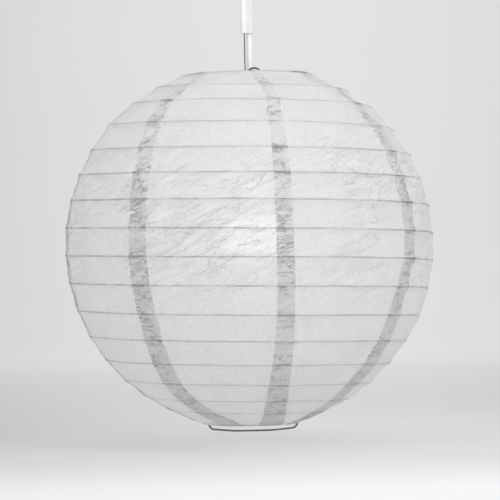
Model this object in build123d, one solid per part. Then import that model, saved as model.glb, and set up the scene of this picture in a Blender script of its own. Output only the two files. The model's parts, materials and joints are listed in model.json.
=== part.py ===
"""Hanging paper lantern with its pendant lamp, in mm, +Z up.

The origin is the centre of the ceiling rose's upper face, and the lamp's flex hangs down the Z axis.
The shade's own axis stands a little to the front and side of the flex, below the hook it hangs on.
Angles round the shade run anticlockwise from +X, seen from above, so its front is at -90 degrees.
"""

from build123d import *
import math
import os

os.makedirs("parts", exist_ok=True)

# Shade: a paper ball on one spiral wire, between two hoops
SHADE_X = -4.6
SHADE_Y = -6.5
SHADE_Z = -344.0
WIRE_R = 1.0
RIB_R = 0.5
PAPER_T = 0.2
HEM_GAP = 0.1
TOP_HOOP_R = 70.0
TOP_HOOP_Z = 186.3
LOW_HOOP_R = 50.0
LOW_HOOP_Z = -196.6
GORES = 8
SEAM_DEG = -79.8
# Latitudes of the rib at the first seam, from the upper hoop down, one to a turn
RIB_LAT = [68.9, 57.7, 48.8, 38.9, 29.3, 21.0, 12.7, 4.0, -4.4, -13.0]
RIB_LAT += [-22.0, -30.7, -39.5, -48.0, -56.5, -64.8, -75.2]
# (latitude, distance from the ball's centre) of the paper's middle surface
PAPER = [(-66.0, 202.2), (-57.0, 202.8), (-30.0, 203.6), (0.0, 203.6), (25.0, 203.6)]
PAPER += [(50.0, 203.4), (60.0, 202.6)]

# Expander: one bent wire that keeps the hoops apart
LEG_X = 46.9
BAR_Z = 185.2
ARCH_X = 9.2
ARCH_R = 8.0
ARCH_RISE = 9.8
HOOK_X = -0.8
CRIMP_X = -30.0
CRIMP_LEN = 12.0
CRIMP_R = 1.7
FOOT_Z = -205.6

# Flex, its grip and the hook below it
FLEX_R = 3.25
FLEX_TOP = -7.0
FLEX_LOW = SHADE_Z + 94.0
CORE_R = 0.9
CORE_X = 1.3
LINK_R = 0.65
HOOK_GAP = 0.1
GRIP_TOP = -65.0
GRIP_LOW = -110.8
GRIP_FLEX_R = 4.6
GRIP_LINK_R = 4.0

# Ceiling rose
ROSE_R = 45.1
ROSE_T = 3.0
COVER_IN_R = 45.4
COVER_WALL = 2.1
COVER_LOW = -28.0
SCREW_X = 30.0
SCREW_HOLE_R = 2.2
CABLE_HOLE_R = 5.0
CABLE_HOLE_Y = 18.0
CLAMP_X = 11.0
POST_R = 3.5
POST_LOW = -8.0
TERM_X = 6.5
TERM_Y = -22.0
SCREW_R = 1.5
FIT = 0.02

# Lampholder and bulb, heights from the ball's centre
GLOBE_R = 30.0
GLOBE_Z = 8.2
GLOBE_T = 1.4
NECK_Z = 19.5
SCREW_Z = 57.0
HOLDER_R = 19.5
HOLDER_LOW = 54.0
HOLDER_MID = 88.0
HOLDER_TOP = 119.0
SHELL_R = 14.3
SHELL_IN_R = 13.7


def polar(lat, dist):
    """(r, z) at a latitude in degrees and a distance from the ball's centre."""
    a = math.radians(lat)
    return (dist * math.cos(a), dist * math.sin(a))


def circle_through(a, b, c):
    """Centre and radius of the circle through three points."""
    (ax, ay), (bx, by), (cx, cy) = a, b, c
    d = 2 * (ax * (by - cy) + bx * (cy - ay) + cx * (ay - by))
    a2 = ax * ax + ay * ay
    b2 = bx * bx + by * by
    c2 = cx * cx + cy * cy
    x = (a2 * (by - cy) + b2 * (cy - ay) + c2 * (ay - by)) / d
    y = (a2 * (cx - bx) + b2 * (ax - cx) + c2 * (bx - ax)) / d
    return (x, y), math.hypot(ax - x, ay - y)


def hem_start(centre, toward, side):
    """Point where the paper's middle surface meets the hem round a hoop."""
    dx = centre[0] - toward[0]
    dz = centre[1] - toward[1]
    size = math.hypot(dx, dz)
    reach = WIRE_R + HEM_GAP + PAPER_T / 2
    return (centre[0] + side * dz / size * reach, centre[1] - side * dx / size * reach)


def paper_knots():
    """The paper's middle surface as (r, z), from the lower hoop to the upper."""
    mid = [polar(lat, dist) for lat, dist in PAPER]
    low = hem_start((LOW_HOOP_R, LOW_HOOP_Z), mid[0], -1)
    top = hem_start((TOP_HOOP_R, TOP_HOOP_Z), mid[-1], 1)
    return [low] + mid + [top]


def paper_arcs():
    """The arcs of the paper's profile, each as three points."""
    k = paper_knots()
    return [(k[0], k[1], k[2]), (k[2], k[3], k[4]), (k[4], k[5], k[6]), (k[6], k[7], k[8])]


def paper_distance(lat):
    """Distance from the ball's centre to the paper's middle surface at a latitude."""
    u = polar(lat, 1.0)
    for arc in paper_arcs():
        if lat <= math.degrees(math.atan2(arc[2][1], arc[2][0])) or arc is paper_arcs()[-1]:
            break
    (cx, cy), r = circle_through(*arc)
    along = cx * u[0] + cy * u[1]
    return along + math.sqrt(r * r - cx * cx - cy * cy + along * along)


def rounded(points, radii, plane=Plane.XZ):
    """Wire of straight runs joined by tangent arcs, one radius to each inner corner."""
    pts = [Vector(p[0], p[1]) for p in points]
    edges = []
    at = pts[0]
    for i in range(1, len(pts) - 1):
        back = (pts[i - 1] - pts[i]).normalized()
        on = (pts[i + 1] - pts[i]).normalized()
        half = math.radians(back.get_angle(on)) / 2
        cut = radii[i - 1] / math.tan(half)
        first = pts[i] + back * cut
        last = pts[i] + on * cut
        middle = pts[i] + (back + on).normalized() * (radii[i - 1] / math.sin(half) - radii[i - 1])
        edges.append(Line(at, first))
        edges.append(ThreePointArc(first, middle, last))
        at = last
    edges.append(Line(at, pts[-1]))
    return plane * Wire([e.edge() for e in edges])


def tube(path, radius):
    """Round wire along a path."""
    return sweep(Plane(path @ 0, z_dir=path % 0) * Circle(radius), path=path)


def quartered_disc(radius):
    """Disc edged by four arcs, so that a long thin wire swept from it stays round."""
    arcs = []
    for k in range(4):
        a = [math.radians(90 * k + turn) for turn in (0, 45, 90)]
        arcs.append(ThreePointArc(*[(radius * math.cos(t), radius * math.sin(t)) for t in a]).edge())
    return make_face(arcs)


def disc(r, low, high, x=0.0, y=0.0):
    """Upright cylinder between two heights."""
    return Pos(x, y, (low + high) / 2) * Cylinder(r, high - low)


def turned(points, degrees=360):
    """Revolved polygon of (r, z) points."""
    flat = Plane.XZ * make_face(Polyline(*points, close=True))
    return revolve(flat, Axis.Z, degrees)


def in_shade(shape):
    """Shade part moved from the ball's centre to its place below the rose."""
    return Pos(SHADE_X, SHADE_Y, SHADE_Z) * shape


def gore(index):
    """One eighth of the paper skin, its ends folded in over the hoops."""
    arcs = paper_arcs()
    half = PAPER_T / 2

    def moved(p, arc, by):
        (cx, cy), r = circle_through(*arc)
        k = (r + by) / r
        return (cx + (p[0] - cx) * k, cy + (p[1] - cy) * k)

    outer = [ThreePointArc(*[moved(p, arc, half) for p in arc]) for arc in arcs]
    inner = [ThreePointArc(*[moved(p, arc, -half) for p in arc]) for arc in arcs]
    bands = []
    for out, inn in zip(outer, inner):
        caps = [Line(out @ 0, inn @ 0), Line(out @ 1, inn @ 1)]
        bands.append(make_face([out.edge(), inn.edge()] + [c.edge() for c in caps]))
    shell = bands[0]
    for band in bands[1:]:
        shell += band
    knots = paper_knots()
    hems = [hem((TOP_HOOP_R, TOP_HOOP_Z), knots[-1], 190)]
    hems.append(hem((LOW_HOOP_R, LOW_HOOP_Z), knots[0], -190))
    for piece in hems:
        shell += piece
    slice_ = revolve(Plane.XZ * shell, Axis.Z, 360 / GORES)
    return in_shade(Rot(0, 0, SEAM_DEG + index * 360 / GORES) * slice_)


def hem(centre, start, sweep_deg):
    """Flat strip of paper bent round a hoop, from the point where the skin meets it."""
    r = WIRE_R + HEM_GAP
    a0 = math.degrees(math.atan2(start[1] - centre[1], start[0] - centre[0]))
    edges = []
    ends = []
    for radius in (r, r + PAPER_T):
        p = []
        for share in (0.0, 0.5, 1.0):
            a = math.radians(a0 + sweep_deg * share)
            p.append((centre[0] + radius * math.cos(a), centre[1] + radius * math.sin(a)))
        edges.append(ThreePointArc(*p).edge())
        ends.append(p)
    edges.append(Line(ends[0][0], ends[1][0]).edge())
    edges.append(Line(ends[0][2], ends[1][2]).edge())
    return make_face(edges)


def rib_point(turn):
    """Point on the spiral wire after so many turns from the first seam."""
    k = min(int(turn), len(RIB_LAT) - 2)
    lat = RIB_LAT[k] + (RIB_LAT[k + 1] - RIB_LAT[k]) * (turn - k)
    dist = paper_distance(lat) - PAPER_T / 2 - RIB_R - HEM_GAP
    r, z = polar(lat, dist)
    a = math.radians(SEAM_DEG + 360 * turn)
    return Vector(r * math.cos(a), r * math.sin(a), z)


def spiral_rib():
    """The one long spiral wire that the paper is glued to."""
    steps = 4 * (len(RIB_LAT) - 1)
    edges = []
    for i in range(steps):
        a, b, c = (rib_point(s / 4) for s in (i, i + 0.5, i + 1))
        edges.append(ThreePointArc(a, b, c).edge())
    path = Wire(edges)
    return in_shade(sweep(Plane(path @ 0, z_dir=path % 0) * quartered_disc(RIB_R), path=path))


def hoop(radius, z):
    """Closed wire hoop at an opening of the shade."""
    return in_shade(Pos(0, 0, z) * Torus(radius, WIRE_R))


def expander_half(side):
    """Corners and bend radii from the upper bar's end down to the foot, on one side."""
    pts = [(69.9, BAR_Z - 1.1), (69.9, BAR_Z - 4.3)]
    radii = [1.6, 1.6]
    pts += [(LEG_X, 172.0), (LEG_X, -188.6), (47.6, -192.4), (46.2, -195.8)]
    radii += [5, 6, 3, 1.6]
    pts += [(49.0, -199.4), (45.1, -203.3), (20.0, FOOT_Z)]
    radii += [1.3, 4, 120]
    return [(side * x, z) for x, z in pts], radii


def expander_wire():
    """Bent wire frame: bar with its arch, two arms, two legs with notches, and the foot."""
    right, radii = expander_half(1)
    left, _ = expander_half(-1)
    start = [(CRIMP_X + 0.4, BAR_Z), (ARCH_X - ARCH_R, BAR_Z), (ARCH_X - ARCH_R, BAR_Z + ARCH_RISE)]
    start += [(ARCH_X + ARCH_R, BAR_Z + ARCH_RISE), (ARCH_X + ARCH_R, BAR_Z), (58.0, BAR_Z)]
    bends = [1.5, ARCH_R - 0.05, ARCH_R - 0.05, 1.5, 30]
    points = start + right + left[::-1] + [(-58.0, BAR_Z), (CRIMP_X - 0.4, BAR_Z)]
    bends += radii + radii[::-1] + [30]
    return in_shade(tube(rounded(points, bends), WIRE_R))


def expander_crimp():
    """Sleeve that joins the wire's two ends."""
    sleeve = Cylinder(CRIMP_R, CRIMP_LEN) - Cylinder(WIRE_R + FIT, CRIMP_LEN)
    return in_shade(Pos(CRIMP_X, 0, BAR_Z) * Rot(0, 90, 0) * sleeve)


def hanging_link():
    """Thin wire from the grip down to its hook under the expander's bar."""
    reach = WIRE_R + LINK_R + HOOK_GAP
    top = GRIP_LOW + 14 - SHADE_Z
    points = [(0, top), (0, BAR_Z + 6.5), (-reach, BAR_Z + 4.3), (-reach, BAR_Z - reach)]
    points += [(reach, BAR_Z - reach), (reach, BAR_Z + 1.6)]
    bends = [1.6, 1.6, reach - 0.01, reach - 0.01]
    return in_shade(Pos(HOOK_X, 0, 0) * tube(rounded(points, bends, Plane.YZ), LINK_R))


def cord_grip():
    """Plastic block that slides on the flex and carries the link."""
    link = (SHADE_X + HOOK_X, SHADE_Y)
    rim = [Circle(GRIP_FLEX_R).edge(), (Pos(*link) * Circle(GRIP_LINK_R)).edge()]
    tall = GRIP_TOP - GRIP_LOW
    body = Pos(0, 0, GRIP_LOW) * extrude(make_hull(rim), tall)
    body = fillet(body.edges().group_by(Axis.Z)[0] + body.edges().group_by(Axis.Z)[-1], 0.9)
    middle = (GRIP_TOP + GRIP_LOW) / 2
    boss = Pos(0, 5.0, middle) * Rot(-90, 0, 0) * Cylinder(3.6, 7.0)
    body += boss
    body -= disc(FLEX_R + 0.15, GRIP_LOW - 1, GRIP_TOP + 1)
    body -= Pos(0, 6.0, middle) * Rot(-90, 0, 0) * Cylinder(1.55, 6.0)
    return body - disc(LINK_R + FIT, GRIP_LOW - 1, GRIP_LOW + 14.05, *link)


def grip_screw():
    """Slotted set screw that clamps the grip to the flex."""
    middle = (GRIP_TOP + GRIP_LOW) / 2
    screw = Pos(0, 5.85, middle) * Rot(-90, 0, 0) * Cylinder(1.5, 4.7)
    return screw - Pos(0, 8.2, middle) * Box(4, 1.2, 0.6)


def flex():
    """Straight round cable from the rose to the lampholder."""
    return disc(FLEX_R, FLEX_LOW, FLEX_TOP)


def flex_core(x):
    """Insulated core bent from the cable's end to its terminal."""
    path = rounded([(0, FLEX_TOP + 0.1), (0, -5.0), (-14.9, -5.0)], [1.5], Plane.YZ)
    return Pos(x, 0, 0) * tube(path, CORE_R)


def rose_base():
    """Plate screwed to the ceiling, with two posts for the cord clamp."""
    base = disc(ROSE_R, -ROSE_T, 0)
    for x in (-CLAMP_X, CLAMP_X):
        base += disc(POST_R, POST_LOW, -ROSE_T, x)
        base -= disc(SCREW_R + FIT, POST_LOW - 1, -4.0, x)
    for x in (-SCREW_X, SCREW_X):
        base -= disc(SCREW_HOLE_R, -ROSE_T - 1, 1, x)
    return base - disc(CABLE_HOLE_R, -ROSE_T - 1, 1, 0, CABLE_HOLE_Y)


def rose_cover():
    """Turned cup that hides the terminals and slides down the flex."""
    rim = COVER_IN_R + COVER_WALL
    outer = [(rim, -0.6), (rim, -9.0), (rim - 2.4, -15.0), (rim - 8.5, -20.5), (14.0, -26.4)]
    outer += [(8.0, -27.2), (7.2, COVER_LOW), (4.1, COVER_LOW), (4.1, -25.0), (13.6, -24.4)]
    outer += [(COVER_IN_R - 7.6, -18.7), (COVER_IN_R - 2.1, -13.9), (COVER_IN_R, -8.6)]
    return turned(outer + [(COVER_IN_R, -0.6)])


def terminal_block():
    """Insulating block with a wire hole and a screw hole for each core."""
    block = Pos(0, TERM_Y, -9) * Box(26, 14, 11.9)
    for x in (-TERM_X, TERM_X):
        block -= disc(2.3, -16, -8, x, TERM_Y)
    return block


def terminal_screw(x):
    """Slotted brass screw of one terminal."""
    screw = disc(2.2, -14.2, -8.05, x, TERM_Y)
    return screw - Pos(x, TERM_Y, -14.2) * Box(5, 0.7, 1.4)


def cord_clamp():
    """Bridge that grips the cable under the rose's posts."""
    plate = extrude(Pos(0, 0, -12.0) * SlotOverall(30, 10), 3.95)
    plate -= disc(FLEX_R + FIT, -13, -7)
    for x in (-CLAMP_X, CLAMP_X):
        plate -= disc(SCREW_R + FIT, -13, -7, x)
    return plate


def clamp_screw(x):
    """Pan-head screw through the clamp into its post."""
    screw = disc(SCREW_R, -13.0, -4.5, x) + disc(2.9, -14.0, -12.02, x)
    return screw - Pos(x, 0, -14) * Box(7, 0.8, 1.6)


def holder_cap():
    """Domed upper shell of the lampholder, with the cable's outlet."""
    low = HOLDER_MID
    outer = [(HOLDER_R, low), (HOLDER_R, low + 5), (18.4, low + 11), (15.2, low + 17), (10.5, low + 21)]
    outer += [(7.0, low + 23), (6.6, HOLDER_TOP), (FLEX_R + 0.03, HOLDER_TOP), (FLEX_R + 0.03, low + 21)]
    outer += [(8.6, low + 18.9), (13.6, low + 15.4), (16.5, low + 9.9), (17.4, low + 5), (17.4, low)]
    return Pos(0, 0, SHADE_Z) * turned(outer)


def holder_body():
    """Lower shell of the lampholder, ribbed round for a grip."""
    low = HOLDER_LOW
    body = disc(HOLDER_R, low, HOLDER_MID - 0.05) - disc(17.4, low + 2, HOLDER_MID + 1)
    body -= disc(15.6, low - 1, low + 3)
    body = fillet(body.edges().filter_by(GeomType.CIRCLE).sort_by(Axis.Z)[0:1], 0.8)
    cuts = [Rot(0, 0, k * 15) * Pos(HOLDER_R + 0.35, 0, low + 19) * Cylinder(0.8, 22) for k in range(24)]
    return Pos(0, 0, SHADE_Z) * (body - cuts)


def holder_insert():
    """Ceramic disc that carries the threaded shell and the contact."""
    core = disc(17.0, 84.6, 94.0) - disc(6.0, 83.0, 88.0)
    return Pos(0, 0, SHADE_Z) * core


def holder_shell():
    """Brass shell the bulb screws into."""
    shell = disc(SHELL_R, 60.0, 84.5) - disc(SHELL_IN_R, 59.0, 85.0)
    return Pos(0, 0, SHADE_Z) * shell


def holder_contact():
    """Sprung strip that meets the bulb's tip."""
    strip = disc(4.6, 85.3, 85.9) + Pos(0, 0, 86.9) * Box(3.2, 6.0, 2.1)
    return Pos(0, 0, SHADE_Z) * strip


def bulb_globe():
    """Frosted hollow dome of the bulb."""
    ball = Pos(0, 0, GLOBE_Z) * Sphere(GLOBE_R)
    dome = ball - Pos(0, 0, GLOBE_Z) * Sphere(GLOBE_R - GLOBE_T)
    return Pos(0, 0, SHADE_Z) * (dome - disc(40, NECK_Z, 60))


def bulb_housing():
    """Plastic collar between the dome and the screw cap."""
    edge = math.sqrt(GLOBE_R**2 - (NECK_Z - GLOBE_Z) ** 2)
    outer = [(0, NECK_Z + 0.02), (edge, NECK_Z + 0.02), (25.6, 27.0), (20.4, 38.0), (16.2, 47.0)]
    outer += [(14.2, 52.0), (13.0, 56.9), (0, 56.9)]
    return Pos(0, 0, SHADE_Z) * turned(outer)


def bulb_screw():
    """Rolled screw cap of the bulb."""
    side = [(0, SCREW_Z), (12.4, SCREW_Z)]
    for k in range(6):
        z = SCREW_Z + 1.4 + 3.62 * k
        side += [(12.0, z), (12.9, z + 0.9), (13.1, z + 1.5), (12.9, z + 2.1)]
    side += [(12.0, 80.6), (8.0, 81.4), (0, 81.4)]
    return Pos(0, 0, SHADE_Z) * (turned(side) - disc(11.4, SCREW_Z - 1, 79.8))


def bulb_insulator():
    """Dark glass cone round the bulb's tip contact."""
    return Pos(0, 0, SHADE_Z) * turned([(0, 81.42), (7.9, 81.42), (5.2, 83.6), (0, 83.6)])


def bulb_tip():
    """Tip contact of the bulb."""
    return Pos(0, 0, SHADE_Z) * turned([(0, 83.62), (4.6, 83.62), (4.0, 84.7), (2.0, 85.2), (0, 85.2)])


def parts():
    """Every piece by its name."""
    made = {"rose_base": rose_base(), "rose_cover": rose_cover()}
    made["terminal_block"] = terminal_block()
    made["terminal_screw_left"] = terminal_screw(-TERM_X)
    made["terminal_screw_right"] = terminal_screw(TERM_X)
    made["cord_clamp"] = cord_clamp()
    made["clamp_screw_left"] = clamp_screw(-CLAMP_X)
    made["clamp_screw_right"] = clamp_screw(CLAMP_X)
    made["core_live"] = flex_core(CORE_X)
    made["core_neutral"] = flex_core(-CORE_X)
    made["flex"] = flex()
    made["cord_grip"] = cord_grip()
    made["grip_screw"] = grip_screw()
    made["hanging_link"] = hanging_link()
    made["expander_wire"] = expander_wire()
    made["expander_crimp"] = expander_crimp()
    made["top_hoop"] = hoop(TOP_HOOP_R, TOP_HOOP_Z)
    made["spiral_rib"] = spiral_rib()
    for k in range(GORES):
        made[f"paper_gore_{k + 1}"] = gore(k)
    made["bottom_hoop"] = hoop(LOW_HOOP_R, LOW_HOOP_Z)
    made["holder_cap"] = holder_cap()
    made["holder_body"] = holder_body()
    made["holder_insert"] = holder_insert()
    made["holder_shell"] = holder_shell()
    made["holder_contact"] = holder_contact()
    made["bulb_globe"] = bulb_globe()
    made["bulb_housing"] = bulb_housing()
    made["bulb_screw"] = bulb_screw()
    made["bulb_insulator"] = bulb_insulator()
    made["bulb_tip"] = bulb_tip()
    return made


for name, shape in parts().items():
    export_step(shape, f"parts/{name}.step")
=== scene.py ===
"""Looks of a hanging paper lantern: a tissue ball on one spiral wire, its expander, pendant lamp and rose.

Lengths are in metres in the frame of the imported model: the origin is the centre of the ceiling rose's
upper face, +Z is up, and -Y is the front. Sizes of the ball are in millimetres from its own centre.
"""

import json
import logging
import math
from dataclasses import dataclass
from enum import Enum

import bpy
import numpy as np
from mathutils import Matrix, Vector

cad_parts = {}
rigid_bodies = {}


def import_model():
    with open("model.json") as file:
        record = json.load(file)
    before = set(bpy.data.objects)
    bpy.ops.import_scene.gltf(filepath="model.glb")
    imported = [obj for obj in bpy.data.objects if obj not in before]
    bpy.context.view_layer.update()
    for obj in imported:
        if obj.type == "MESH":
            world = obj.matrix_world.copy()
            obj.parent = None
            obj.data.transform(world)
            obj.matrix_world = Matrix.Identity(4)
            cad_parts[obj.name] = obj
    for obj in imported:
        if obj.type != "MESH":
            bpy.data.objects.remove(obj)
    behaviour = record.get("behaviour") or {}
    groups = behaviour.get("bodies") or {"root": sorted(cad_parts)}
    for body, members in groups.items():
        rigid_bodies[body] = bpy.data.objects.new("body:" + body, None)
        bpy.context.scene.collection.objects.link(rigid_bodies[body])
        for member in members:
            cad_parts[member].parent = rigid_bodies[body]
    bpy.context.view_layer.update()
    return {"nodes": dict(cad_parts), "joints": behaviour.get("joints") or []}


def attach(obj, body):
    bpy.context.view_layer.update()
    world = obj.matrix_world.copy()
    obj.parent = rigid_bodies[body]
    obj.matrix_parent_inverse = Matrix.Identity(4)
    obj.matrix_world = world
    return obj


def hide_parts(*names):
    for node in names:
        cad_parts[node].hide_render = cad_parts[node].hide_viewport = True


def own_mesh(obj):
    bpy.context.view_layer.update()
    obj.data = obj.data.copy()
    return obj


LOG = logging.getLogger("lantern")
MM = 0.001
Triple = tuple[float, float, float]

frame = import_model()


class Body(Enum):
    """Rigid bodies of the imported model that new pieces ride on."""

    CEILING = "ceiling_set"
    COVER = "cover"
    SHADE = "shade"
    BULB = "bulb"


class Blend(Enum):
    """How a mapped value runs between its two ends."""

    SMOOTH = "SMOOTHSTEP"
    STRAIGHT = "LINEAR"


# ---------------------------------------------------------------- shader maths


class Val:
    """A node socket or a number, with arithmetic that adds Math nodes."""

    def __init__(self, nodes: "Tree", out: "bpy.types.NodeSocket | float") -> None:
        """Wrap an output socket of a node tree, or a number.

        Args:
            nodes: the tree that new nodes are added to.
            out: the socket or number that is wrapped.
        """
        self.nodes = nodes
        self.out = out

    def maths(self, operation: str, *others: "Val | float") -> "Val":
        """Add a Math node with this value first.

        Args:
            operation: the Math node's operation.
            others: the remaining operands, in order.

        Returns:
            The node's result.
        """
        return self.nodes.add("ShaderNodeMath", {"operation": operation}, dict(enumerate([self, *others])))

    def __add__(self, other: "Val | float") -> "Val":
        """Sum."""
        return self.maths("ADD", other)

    def __radd__(self, other: float) -> "Val":
        """Sum with the number first."""
        return self.maths("ADD", other)

    def __sub__(self, other: "Val | float") -> "Val":
        """Difference."""
        return self.maths("SUBTRACT", other)

    def __rsub__(self, other: float) -> "Val":
        """Difference with the number first."""
        return Val(self.nodes, other).maths("SUBTRACT", self)

    def __mul__(self, other: "Val | float") -> "Val":
        """Product."""
        return self.maths("MULTIPLY", other)

    def __rmul__(self, other: float) -> "Val":
        """Product with the number first."""
        return self.maths("MULTIPLY", other)

    def __truediv__(self, other: "Val | float") -> "Val":
        """Quotient."""
        return self.maths("DIVIDE", other)

    def least(self, other: "Val | float") -> "Val":
        """Smaller of two values."""
        return self.maths("MINIMUM", other)

    def most(self, other: "Val | float") -> "Val":
        """Larger of two values."""
        return self.maths("MAXIMUM", other)

    def fraction(self) -> "Val":
        """Part after the decimal point."""
        return self.maths("FRACT")

    def size(self) -> "Val":
        """Absolute value."""
        return self.maths("ABSOLUTE")

    def spread(self, low: float, high: float, to_low: float = 0.0, to_high: float = 1.0,
               blend: Blend = Blend.SMOOTH) -> "Val":
        """Map a range of this value to another range, held at its ends.

        Args:
            low: value that maps to to_low.
            high: value that maps to to_high.
            to_low: result at low.
            to_high: result at high.
            blend: how the result runs between them.

        Returns:
            The mapped value.
        """
        settings = {"interpolation_type": blend.value, "clamp": True}
        inputs = {"Value": self, "From Min": low, "From Max": high, "To Min": to_low, "To Max": to_high}
        return self.nodes.add("ShaderNodeMapRange", settings, inputs)


class Tree:
    """A node tree, with one method that adds a node."""

    tree: bpy.types.NodeTree

    def add(self, kind: str, settings: "dict | None" = None, inputs: "dict | None" = None,
            result: "int | str" = 0) -> Val:
        """Add a node, set it up and link or fill its sockets.

        Args:
            kind: the node's type.
            settings: properties set first.
            inputs: values or links by a socket's name or number.
            result: the output that is returned.

        Returns:
            The chosen output, wrapped.
        """
        node = self.tree.nodes.new(kind)
        for key, value in (settings or {}).items():
            setattr(node, key, value)
        for key, value in (inputs or {}).items():
            held = value.out if isinstance(value, Val) else value
            if isinstance(held, bpy.types.NodeSocket):
                self.tree.links.new(held, node.inputs[key])
            else:
                node.inputs[key].default_value = held
        return Val(self, node.outputs[result] if len(node.outputs) else 0.0)


class Nodes(Tree):
    """The node tree of one material."""

    def __init__(self, name: str) -> None:
        """Start an empty material.

        Args:
            name: the material's name.
        """
        self.material = bpy.data.materials.new(name)
        self.material.use_nodes = True
        self.tree = self.material.node_tree
        self.tree.nodes.clear()

    def place(self) -> Val:
        """Object coordinates of the surface."""
        return self.add("ShaderNodeTexCoord", result="Object")

    def along(self, axis: str) -> Val:
        """Object coordinate along X, Y or Z, in metres."""
        return self.add("ShaderNodeSeparateXYZ", None, {"Vector": self.place()}, result=axis)

    def attribute(self, name: str) -> Val:
        """A number stored on the mesh.

        Args:
            name: the attribute's name.

        Returns:
            Its value at the surface.
        """
        return self.add("ShaderNodeAttribute", {"attribute_name": name}, result="Fac")

    def stretched(self, scale: Triple, lean_deg: float = 0.0) -> Val:
        """Object coordinates scaled along each axis.

        Args:
            scale: the factor for X, Y and Z.
            lean_deg: turn about Y before that.

        Returns:
            The scaled coordinates.
        """
        inputs = {"Vector": self.place(), "Rotation": (0.0, math.radians(lean_deg), 0.0)}
        turned = self.add("ShaderNodeMapping", None, inputs)
        return self.add("ShaderNodeMapping", None, {"Vector": turned, "Scale": scale})

    def noise(self, scale: float, detail: float = 2.0, rough: float = 0.5, at: "Val | None" = None) -> Val:
        """Noise on Object coordinates.

        Args:
            scale: features per metre.
            detail: octaves.
            rough: strength of the finer octaves.
            at: coordinates to read instead.

        Returns:
            The noise, from 0 to 1.
        """
        inputs = {"Vector": at or self.place(), "Scale": scale, "Detail": detail, "Roughness": rough}
        return self.add("ShaderNodeTexNoise", None, inputs)

    def ridges(self, scale: float, width: float, at: "Val | None" = None) -> Val:
        """Thin wandering lines.

        Args:
            scale: features per metre.
            width: how wide the lines are, as a share of the noise's range.
            at: coordinates to read instead of the plain ones.

        Returns:
            1 on a line, falling to 0 beside it.
        """
        return (self.noise(scale, 3.0, 0.6, at) - 0.5).size().spread(0.0, width, 1.0, 0.0)

    def tint(self, share: Val, one: "tuple | Val", two: "tuple | Val") -> Val:
        """Mix two colours.

        Args:
            share: how much of the second.
            one: first colour, RGB.
            two: second colour, RGB.

        Returns:
            The mixed colour.
        """
        first, second = (colour if isinstance(colour, Val) else (*colour, 1.0) for colour in (one, two))
        # A Mix node's colour sockets are its inputs 6 and 7 and its output 2
        inputs = {"Factor": share, 6: first, 7: second}
        return self.add("ShaderNodeMix", {"data_type": "RGBA"}, inputs, result=2)

    def bump(self, height: Val, depth: float, strength: float = 1.0) -> Val:
        """Surface normal from a height.

        Args:
            height: height from 0 to 1.
            depth: metres that a height of 1 stands for.
            strength: share of the effect.

        Returns:
            The bent normal.
        """
        return self.add("ShaderNodeBump", None, {"Height": height, "Distance": depth, "Strength": strength})

    def finish(self, shader: Val) -> bpy.types.Material:
        """Send a shader to the output.

        Args:
            shader: the surface shader.

        Returns:
            The finished material.
        """
        self.add("ShaderNodeOutputMaterial", None, {"Surface": shader})
        return self.material


# ------------------------------------------------------------------- finishes


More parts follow.
